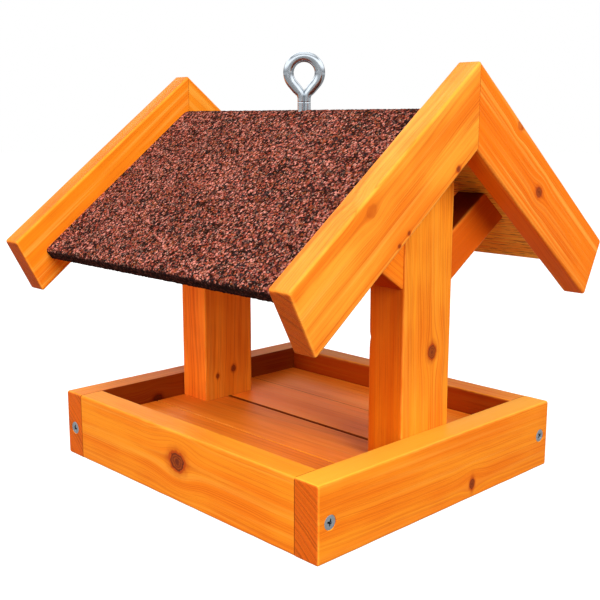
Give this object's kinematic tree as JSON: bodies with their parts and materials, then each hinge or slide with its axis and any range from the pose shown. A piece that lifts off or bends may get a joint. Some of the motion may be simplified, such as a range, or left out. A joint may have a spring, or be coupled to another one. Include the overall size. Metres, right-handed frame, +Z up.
{
  "type": "bird table",
  "caption": "Hanging bird table of stained wood: a gabled felt roof with mitred bargeboards, on posts over an open planked tray, with an eye bolt through the ridge.",
  "frame": {"origin": "on the ground, under the middle of the tray", "axes": "+Z up, X across the gable, Y along the ridge; the front gable faces -Y"},
  "size_m": [0.2546, 0.244, 0.2437],
  "materials": {
    "stained_pine": "satin, orange-brown stain",
    "stained_floor": "satin, darker red-brown stain",
    "stained_plywood": "matt, rough sawn face",
    "mineral_felt": "matt mineral granules, red-brown and black",
    "zinc_steel": "bright zinc plate",
    "plain_beech": "unfinished"
  },
  "bodies": {
    "root": {"tray_end_board_front": "stained_pine", "tray_end_board_back": "stained_pine", "tray_side_board_left": "stained_pine", "tray_side_board_right": "stained_pine", "floor_cleat_front": "stained_pine", "floor_cleat_back": "stained_pine", "post_front": "stained_pine", "post_back": "stained_pine", "roof_arm_front_left": "stained_pine", "roof_arm_front_right": "stained_pine", "roof_arm_back_left": "stained_pine", "roof_arm_back_right": "stained_pine", "ridge_beam": "stained_pine", "bargeboard_front_left": "stained_pine", "bargeboard_front_right": "stained_pine", "bargeboard_back_left": "stained_pine", "bargeboard_back_right": "stained_pine", "floor_plank_left_outer": "stained_floor", "floor_plank_left_inner": "stained_floor", "floor_plank_right_inner": "stained_floor", "floor_plank_right_outer": "stained_floor", "roof_panel_left": "stained_plywood", "roof_panel_right": "stained_plywood", "roofing_felt": "mineral_felt", "eye_bolt": "zinc_steel", "eye_bolt_washer": "zinc_steel", "eye_bolt_nut": "zinc_steel", "tray_front_screws": "zinc_steel", "tray_back_screws": "zinc_steel", "tray_end_grain_screws": "zinc_steel", "post_foot_screws": "zinc_steel", "cleat_screws": "zinc_steel", "ridge_beam_screws": "zinc_steel", "floor_brads": "zinc_steel", "roof_panel_nails": "zinc_steel", "bargeboard_pins": "zinc_steel", "roof_arm_dowels": "plain_beech"}
  },
  "joints": []
}
